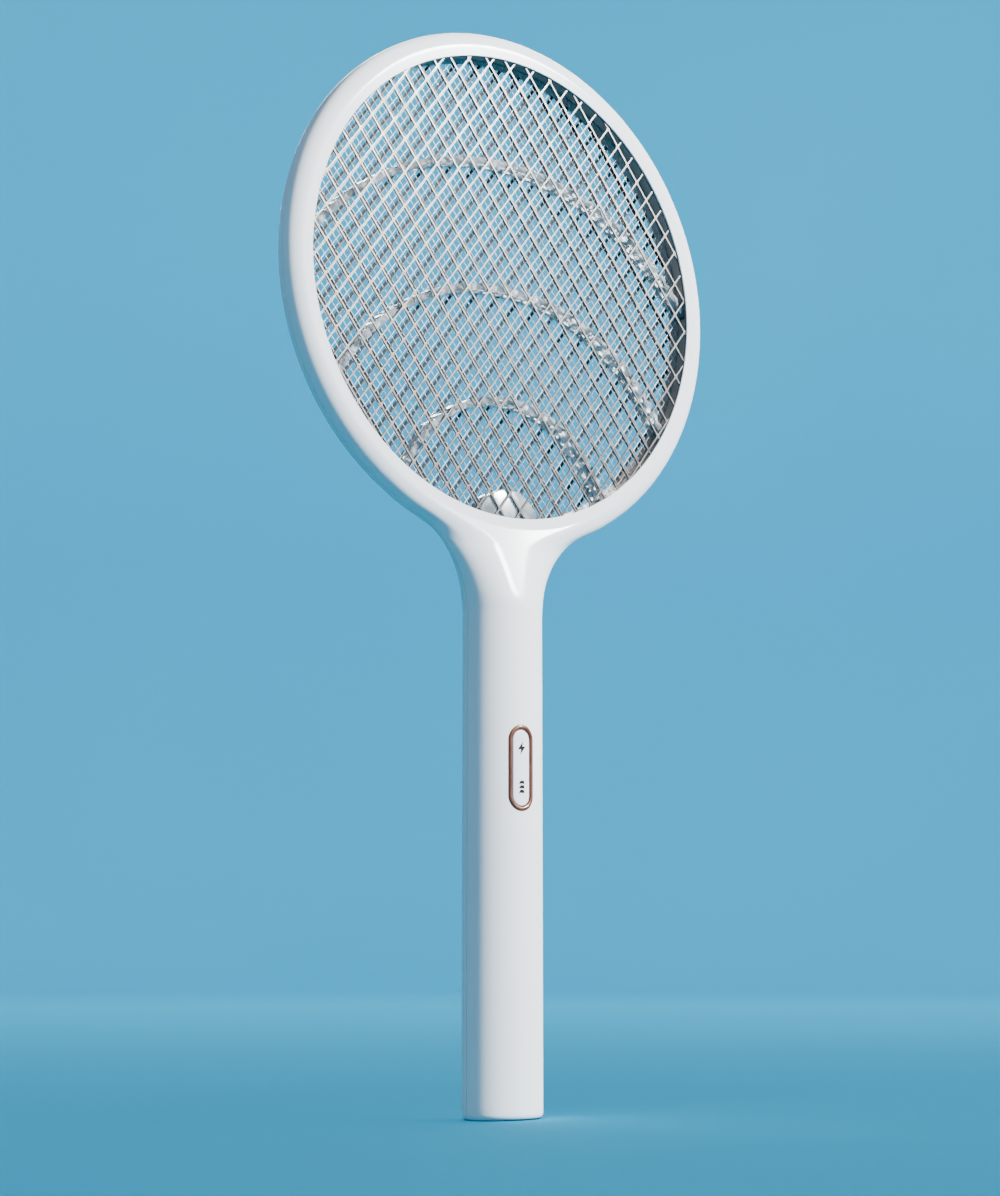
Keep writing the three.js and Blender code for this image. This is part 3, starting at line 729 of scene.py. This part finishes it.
def close_rim(piece):
    """Joins a net's two sides along its outer edge, with every face pointing out."""
    work = bmesh.new()
    work.from_mesh(piece.data)
    bmesh.ops.dissolve_degenerate(work, dist=2e-6, edges=work.edges)
    middle = sum(v.co.y for v in work.verts) / len(work.verts)
    open_edges = [e for e in work.edges if len(e.link_faces) == 1]
    near = [e for e in open_edges if e.verts[0].co.y < middle]
    far = list(dict.fromkeys(v for e in open_edges for v in e.verts if v.co.y > middle))

    def opposite(vertex):
        return min(far, key=lambda v: (v.co.x - vertex.co.x) ** 2 + (v.co.z - vertex.co.z) ** 2)

    for edge in near:
        a, b = edge.verts
        c, d = opposite(b), opposite(a)
        if c != d:
            work.faces.new((a, b, c, d))
    bmesh.ops.recalc_face_normals(work, faces=work.faces)
    facing = [f for f in work.faces if abs(f.normal.y) > 0.7]
    wrong = [f for f in facing if f.normal.y * (f.calc_center_median().y - middle) < 0]
    if 2 * len(wrong) > len(facing):
        bmesh.ops.reverse_faces(work, faces=work.faces)
    work.to_mesh(piece.data)
    work.free()


def paint_shade_on_strand_sides(piece, outward):
    """The face towards the outside keeps the net's metal; the sides of the strands and the back get a
    near-black colour as painted shade.
    """
    piece.data.materials.append(NET_PAINTED_SHADE)
    for polygon in piece.data.polygons:
        polygon.material_index = 0 if polygon.normal.y * outward > 0.7 else 1


STRANDS = {"front_net": (FRONT_NET_Y, 0.74), "rear_net": (-FRONT_NET_Y, 1.05)}  # place and width
for node, (y, strand) in STRANDS.items():
    net = diamond_net(node.replace("net", "diamond_net"), y, strand)
    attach(net, "casing")
    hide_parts(node)


WIRE_R = 0.19
WIRE_SIDES = 6
WIRES_PER_CELL = 3
WIRE_LAYERS = ((1, -0.008), (-1, -0.09))  # slant, and offset from the net's strands in cells


def wire_grid(name):
    """Fine wires in two layers, running both ways, welded where they cross."""
    points = []
    faces = []
    slant = math.hypot(CELL_W, CELL_H)
    spacing = CELL_W * CELL_H / slant / WIRES_PER_CELL
    for layer, phase in WIRE_LAYERS:
        direction = Vector((CELL_W, 0, -layer * CELL_H)) / slant
        normal = Vector((layer * CELL_H, 0, CELL_W)) / slant
        start = (NET_NODE_Z * layer * normal.z) + phase * WIRES_PER_CELL * spacing
        count = int(RIM_R / spacing) + 2
        for i in range(-count, count + 1):
            offset = start + i * spacing
            if abs(offset) > RIM_R - 1:
                continue
            half = math.sqrt((RIM_R - 0.6) ** 2 - offset ** 2)
            base = len(points)
            for end in (-half, half):
                centre = normal * offset + direction * end
                for k in range(WIRE_SIDES):
                    turn = 2 * math.pi * k / WIRE_SIDES
                    spot = centre + normal * (WIRE_R * math.cos(turn))
                    y = layer * WIRE_R * 0.9 + WIRE_R * math.sin(turn)
                    points.append((spot.x, y, HEAD_Z + spot.z))
            for k in range(WIRE_SIDES):
                j = (k + 1) % WIRE_SIDES
                faces.append((base + k, base + j, base + WIRE_SIDES + j, base + WIRE_SIDES + k))
            faces.append(tuple(base + k for k in range(WIRE_SIDES)))
            faces.append(tuple(base + WIRE_SIDES + k for k in reversed(range(WIRE_SIDES))))
    return mesh_object(name, points, faces, WIRE, 70)


grid = wire_grid("centre_wire_grid")
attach(grid, "casing")
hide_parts("centre_net")

# ---------------------------------------------------------------- net frames and spacers

ARCS = ((237.5, 54.5), (242.0, 97.7), (269.0, 125.0))  # centre height and radius of each rib
RIB = 3.2
RIB_GAP = 0.15  # between a rib and the slots in the dark frames
FACET = 2.7  # length of one facet along a rib
WAIST = 0.3  # taken off each side of a rib at every second facet
RIDGE_RISE = 0.6  # the ridge stands this far over the rib's sides
RIDGE_DIP = 0.9
RIDGE_LEAN = 0.8  # the ridge runs this far to one side, then to the other
FOOT_R = 16.0
FOOT_EDGE = 0.35
FOOT_DROP = 4.0  # its centre is this far below the opening
SPACER_INNER, SPACER_OUTER = 0.45, 4.5
SPACER_REACH = OPENING_R + 0.9
SPACER_RIM = OPENING_R + 1.3
SPACER_RIM_DEPTH = 2.6
FRAME_INNER, FRAME_LEDGE, FRAME_OUTER = 0.4, 2.9, 4.65
FRAME_WALL = 1.0
SLOT_REACH = OPENING_R + 2.2
SLOT_INNER, SLOT_OUTER = 0.1, 4.6
ARC_STEPS = 72


def start_angle(centre_z, radius, reach):
    """Angle above the horizontal at which a circle meets the circle of radius reach."""
    drop = HEAD_Z - centre_z
    sine = (reach ** 2 - radius ** 2 - drop ** 2) / (-2 * radius * drop)
    return math.asin(max(-1.0, min(1.0, sine)))


def arc(centre_z, radius, reach, steps):
    """(x, z) points along the part of a circle that lies inside the reach."""
    start = start_angle(centre_z, radius, reach)
    turns = np.linspace(start, math.pi - start, steps + 1)
    return [(radius * math.cos(t), centre_z + radius * math.sin(t)) for t in turns]


def slot_outline(centre_z, radius):
    """(x, z) points round the slot that one rib passes through."""
    half = RIB / 2 + RIB_GAP
    outer = arc(centre_z, radius + half, SLOT_REACH, ARC_STEPS)
    inner = arc(centre_z, radius - half, SLOT_REACH, ARC_STEPS)
    return outer + inner[::-1]


def rounded_prism(name, outline, y0, y1, material):
    piece = prism_y(name, outline, y0, y1, material, 50)
    bevel = piece.modifiers.new("edge", "BEVEL")
    bevel.width = FOOT_EDGE * MM
    bevel.segments = 2
    bevel.limit_method = "ANGLE"
    bevel.angle_limit = math.radians(50)
    apply_modifiers(piece)
    tidy_mesh(piece, 50)
    return piece


def join_pieces(pieces, name):
    with bpy.context.temp_override(active_object=pieces[0], selected_editable_objects=pieces):
        bpy.ops.object.join()
    pieces[0].name = name
    pieces[0].data.name = name
    return pieces[0]


def faceted_rib(centre_z, radius, side):
    """A curved rib cut like glass: its width and its ridge swell and shrink along the arc."""
    start = start_angle(centre_z, radius, SPACER_REACH)
    steps = 2 * int((math.pi - 2 * start) * radius / FACET / 2)
    points = []
    for i, turn in enumerate(np.linspace(start, math.pi - start, steps + 1)):
        half = RIB / 2 if i % 2 else RIB / 2 - WAIST
        ridge = SPACER_OUTER if i % 2 else SPACER_OUTER - RIDGE_DIP
        lean = RIDGE_LEAN if i % 4 < 2 else -RIDGE_LEAN
        section = ((-half, SPACER_INNER), (half, SPACER_INNER), (half, ridge - RIDGE_RISE),
                   (lean, ridge), (-half, ridge - RIDGE_RISE))
        for across, y in section:
            r = radius + across
            points.append((r * math.cos(turn), side * y, centre_z + r * math.sin(turn)))
    corners = 5
    faces = loop_faces(steps + 1, corners)
    last = steps * corners
    faces += [tuple(range(corners)), tuple(last + i for i in range(corners))]
    return mesh_object("rib", points, faces, CLEAR, 8)


def spacer(name, side):
    """Three ribs, the half disc at the bottom of the opening and the rim that carries them."""
    low, high = sorted((side * SPACER_INNER, side * SPACER_OUTER))
    parts = [faceted_rib(z, r, side) for z, r in ARCS]
    foot = arc(HEAD_Z - OPENING_R - FOOT_DROP, FOOT_R, SPACER_REACH, 40)
    parts.append(rounded_prism("foot", foot, low, high, CLEAR))
    inner, outer = side * SPACER_INNER, side * SPACER_RIM_DEPTH
    profile = [(SPACER_RIM, inner), (RIM_R, inner), (RIM_R, outer), (SPACER_RIM, outer)]
    parts.append(turned("rim", profile, CLEAR))
    return join_pieces(parts, name)


def net_frame(name, side):
    """The dark wall round the opening, with a ledge under the net and slots for the ribs."""
    wall = OPENING_R + FRAME_WALL
    inner, ledge, outer = side * FRAME_INNER, side * FRAME_LEDGE, side * FRAME_OUTER
    ring = turned(name, [
        (OPENING_R, outer), (OPENING_R, inner), (wall, inner),
        (wall, ledge), (RIM_R, ledge), (RIM_R, outer),
    ], DARK_FRAME)
    low, high = sorted((side * SLOT_INNER, side * SLOT_OUTER))
    for z, r in ARCS:
        cut_away(ring, prism_y("slot", slot_outline(z, r), low, high, DARK_FRAME))
    tidy_mesh(ring)
    return ring


for side, end in ((-1, "front"), (1, "rear")):
    piece = spacer(f"clear_spacer_{end}", side)
    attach(piece, "casing")
    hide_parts(f"spacer_{end}")
    piece = net_frame(f"dark_net_frame_{end}", side)
    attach(piece, "casing")
    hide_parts(f"net_frame_{end}")

# ---------------------------------------------------------------- button


def skin_y(x, proud=0.0):
    """The handle's front surface at x."""
    return -(HANDLE_B + proud) * math.sqrt(max(0.0, 1 - (x / (HANDLE_A + proud)) ** 2))


def pill_loops(name, loops, material, closed_loop=False):
    """Stacked pill outlines; each loop is (width, height, height over the casing, y if fixed)."""
    points = []
    for width, height, proud, fixed in loops:
        outline = pill_outline(width, height)
        count = len(outline)
        points += [(x, skin_y(x, proud) if fixed is None else fixed, z) for x, z in outline]
    faces = loop_faces(len(loops), count)
    last = (len(loops) - 1) * count
    if closed_loop:
        faces += [(last + i, last + (i + 1) % count, (i + 1) % count, i) for i in range(count)]
    else:
        faces.append(tuple(reversed(range(count))))
        faces.append(tuple(last + i for i in range(count)))
    return mesh_object(name, points, faces, material, 40)


def bezel():
    """A bullnosed copper trim that follows the handle's curve, with a flange inside."""
    loops = []
    steps = 10
    outer = (BEZEL_W + 2 * BEZEL_OVERLAP, BEZEL_H + 2 * BEZEL_OVERLAP)
    for i in range(steps + 1):
        turn = math.pi * i / steps
        shrink = BEZEL_LINE * (1 - math.cos(turn))
        proud = (BEAD_HEIGHT + BEAD_ROOT) * math.sin(turn) - BEAD_ROOT
        loops.append((outer[0] - shrink, outer[1] - shrink, proud, None))
    inner = (outer[0] - 2 * BEZEL_LINE, outer[1] - 2 * BEZEL_LINE)
    flange = (BEZEL_W + 2 * FLANGE, BEZEL_H + 2 * FLANGE)
    loops.append((*inner, 0, FLANGE_Y[0]))
    loops.append((*flange, 0, FLANGE_Y[0]))
    loops.append((*flange, 0, FLANGE_Y[1]))
    loops.append((BEZEL_W, BEZEL_H, 0, FLANGE_Y[1]))
    return pill_loops("copper_bezel", loops, COPPER, closed_loop=True)


def button():
    """A pill with a soft edge whose face follows the handle's curve."""
    inset = BEZEL_LINE + BUTTON_GAP - BEZEL_OVERLAP
    width = BEZEL_W - 2 * inset
    height = BEZEL_H - 2 * inset
    loops = [(width, height, 0, BUTTON_BACK_Y)]
    steps = 5
    for i in range(steps + 1):
        turn = math.pi / 2 * i / steps
        shrink = 2 * BUTTON_EDGE * (1 - math.cos(turn))
        loops.append((width - shrink, height - shrink, BUTTON_EDGE * (math.sin(turn) - 1), None))
    for share in (0.75, 0.5, 0.3, 0.15, 0.05):
        core = (width - 2 * BUTTON_EDGE) * share
        loops.append((core, core + height - width, 0, None))
    return pill_loops("button_face", loops, CAP_WHITE)


trim = bezel()
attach(trim, "casing")
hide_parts("button_bezel")

cap = button()
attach(cap, "button")
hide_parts("button_cap")


ICON_FACE, ICON_ROOT = 0.14, -0.1  # clear of the face between the outline's corners, and sunk in it


def icon(name, outline, centre_z):
    """A thin mark on the button's face."""
    count = len(outline)
    points = [(x, skin_y(x, ICON_FACE), centre_z + z) for x, z in outline]
    points += [(x, skin_y(x, ICON_ROOT), centre_z + z) for x, z in outline]
    faces = [tuple(range(count)), tuple(range(2 * count - 1, count - 1, -1))]
    faces += [(i, (i + 1) % count, count + (i + 1) % count, count + i) for i in range(count)]
    piece = mesh_object(name, points, faces, INK, 40)
    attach(piece, "button")


BOLT = [(0.6, 2.6), (-1.75, -0.5), (-0.25, -0.5), (-0.6, -2.6), (1.75, 0.6), (0.2, 0.6)]
BOLT_Z = 147.1
BAR = [(-1.35, -0.6), (1.35, -0.6), (1.0, 0.6), (-0.6, 0.6)]
BARS_Z = 131.5
BAR_PITCH = 1.85
icon("icon_bolt", BOLT, BOLT_Z)
for i in range(3):
    icon(f"icon_bar_{i + 1}", BAR, BARS_Z + (i - 1) * BAR_PITCH)

# ---------------------------------------------------------------- the CAD pieces that stay

STAYING = {
    "end_cap": CASING, "light_guide": CLEAR, "switch_body": BLACK, "switch_plunger": STEEL,
    "main_board": BOARD, "charge_board": BOARD, "transformer_core": FERRITE,
    "transformer_winding": WINDING, "bleed_resistor": TAN, "drive_transistor": BLACK,
    "battery_cell": WRAP, "battery_cradle": BLACK, "battery_tab_negative": STEEL,
    "battery_tab_positive": STEEL, "usb_shell": STEEL, "usb_tongue": BLACK,
    "battery_lead_negative": BLACK_LEAD, "battery_lead_positive": RED_LEAD,
    "hv_lead_centre": RED_LEAD, "hv_lead_front": RED_LEAD, "hv_lead_rear": RED_LEAD,
}
STAYING.update({f"hv_capacitor_{i}": FILM for i in (1, 2)})
STAYING.update({f"hv_diode_{i}": BLACK for i in (1, 2, 3, 4)})
STAYING.update({f"led_{i}": LED for i in (1, 2, 3)})
STAYING.update({f"screw_{i}": SCREW for i in (1, 2, 3, 4)})
for node, material in STAYING.items():
    for slot in frame["nodes"][node].material_slots:
        slot.material = material

# ---------------------------------------------------------------- stage, light and camera, in metres

FLOOR_R = 3.2
FLOOR_BEND = 0.9
WALL_HEIGHT = 3.0


def stage():
    """A plain blue floor that curves up into a wall all round."""
    profile = [(FLOOR_R * 0.3, 0.0), (FLOOR_R * 0.7, 0.0)]
    steps = 14
    for i in range(steps + 1):
        turn = math.pi / 2 * i / steps
        profile.append((FLOOR_R + FLOOR_BEND * math.sin(turn), FLOOR_BEND * (1 - math.cos(turn))))
    profile.append((FLOOR_R + FLOOR_BEND, WALL_HEIGHT))
    work = bmesh.new()
    columns = 96
    rings = []
    for r, z in profile:
        turns = [2 * math.pi * i / columns for i in range(columns)]
        rings.append([work.verts.new((r * math.cos(t), r * math.sin(t), z)) for t in turns])
    work.faces.new(rings[0])
    for a, b in zip(rings, rings[1:]):
        for i in range(columns):
            j = (i + 1) % columns
            work.faces.new((a[i], b[i], b[j], a[j]))
    mesh = bpy.data.meshes.new("floor")
    work.to_mesh(mesh)
    work.free()
    for polygon in mesh.polygons:
        polygon.use_smooth = True
    floor = bpy.data.objects.new("floor", mesh)
    bpy.context.scene.collection.objects.link(floor)
    material, nodes, links, shader = new_material("floor_pale_blue")
    vector = object_coordinates(nodes, links)
    drift = noise(nodes, links, vector, 1.2, 2.0)
    colours = [(0.3, (0.02, 0.51, 0.79)), (0.7, (0.025, 0.53, 0.81))]
    links.new(ramp(nodes, links, drift, colours), shader.inputs["Base Color"])
    shader.inputs["Roughness"].default_value = 0.9
    shader.inputs["Specular IOR Level"].default_value = 0.15
    mesh.materials.append(material)
    return floor


def aimed(spot, back):
    """Placement at a spot, with the back of the light or camera in the direction given."""
    return Matrix.Translation(spot) @ back.to_track_quat("Z", "Y").to_matrix().to_4x4()


def area_light(name, azimuth, elevation, distance, size, power, colour=(1, 1, 1)):
    """A soft light aimed at the object; azimuth 0 is in front, positive to the right."""
    target = Vector((0, 0, 0.26))
    turn, rise = math.radians(azimuth), math.radians(elevation)
    level = math.cos(rise)
    toward = Vector((math.sin(turn) * level, -math.cos(turn) * level, math.sin(rise)))
    data = bpy.data.lights.new(name, "AREA")
    data.shape = "RECTANGLE"
    data.size, data.size_y = size
    data.energy = power
    data.color = colour
    light = bpy.data.objects.new(name, data)
    light.matrix_world = aimed(target + toward * distance, toward)
    bpy.context.scene.collection.objects.link(light)
    return light


def light_only(light, piece, state="INCLUDE"):
    """Lets a light fall on one object alone, or with EXCLUDE on all but that one."""
    group = bpy.data.collections.new(light.name + "_link")
    group.objects.link(piece)
    group.collection_objects[0].light_linking.link_state = state
    light.light_linking.receiver_collection = group


def wall_wash(azimuth, power):
    """A wide light over the object that faces outwards, so it lights the wall alone.

    Azimuth 0 is at the back, positive to the right.
    """
    turn = math.radians(azimuth)
    out = Vector((math.sin(turn), math.cos(turn), 0))
    data = bpy.data.lights.new("wall_wash", "AREA")
    data.shape = "RECTANGLE"
    data.size = 2.2
    data.size_y = 0.8
    data.energy = power
    light = bpy.data.objects.new("wall_wash", data)
    spot = out * 1.6 + Vector((0, 0, 2.6))
    wall = out * (FLOOR_R + FLOOR_BEND) + Vector((0, 0, 0.6))
    light.matrix_world = aimed(spot, (spot - wall).normalized())
    bpy.context.scene.collection.objects.link(light)


def world(colour, strength):
    """An even, faint light from all round."""
    scene_world = bpy.data.worlds.new("studio")
    scene_world.use_nodes = True
    background = scene_world.node_tree.nodes["Background"]
    background.inputs["Color"].default_value = (*colour, 1)
    background.inputs["Strength"].default_value = strength
    bpy.context.scene.world = scene_world


def camera():
    """Low in front of the object and to its left, looking slightly up."""
    data = bpy.data.cameras.new("camera")
    data.sensor_width = 36
    data.lens = 70.96
    data.clip_start = 0.05
    data.clip_end = 30
    turn, rise = math.radians(37.42), math.radians(8.62)
    level = math.cos(rise)
    forward = Vector((math.sin(turn) * level, math.cos(turn) * level, math.sin(rise)))
    spot = Vector((-0.5836, -0.7611, 0.0644))
    view = bpy.data.objects.new("camera", data)
    view.matrix_world = aimed(spot, -forward)
    bpy.context.scene.collection.objects.link(view)
    bpy.context.scene.camera = view


WALL_WASHES = ((37, 56), (97, 34), (-23, 26), (157, 20), (217, 13), (277, 13))  # azimuth and watts

floor = stage()
key = area_light("key", 36, 30, 3.3, (0.6, 0.6), 470)
light_only(key, floor, "EXCLUDE")
area_light("fill_top", -60, 70, 2.2, (2.0, 2.0), 8, (1.0, 0.94, 0.90))
area_light("fill_front", -50, 12, 3.0, (2.0, 2.0), 9, (1.0, 0.93, 0.88))
back = area_light("back", 143, 28, 3.0, (1.2, 1.2), 110, (1.0, 0.97, 0.94))
light_only(back, floor, "EXCLUDE")
for azimuth, power in WALL_WASHES:
    wall_wash(azimuth, power)
floor_light = area_light("floor_light", 0, 89, 2.6, (4.0, 4.0), 34)
light_only(floor_light, floor)
world((1.0, 0.95, 0.9), 0.07)
camera()
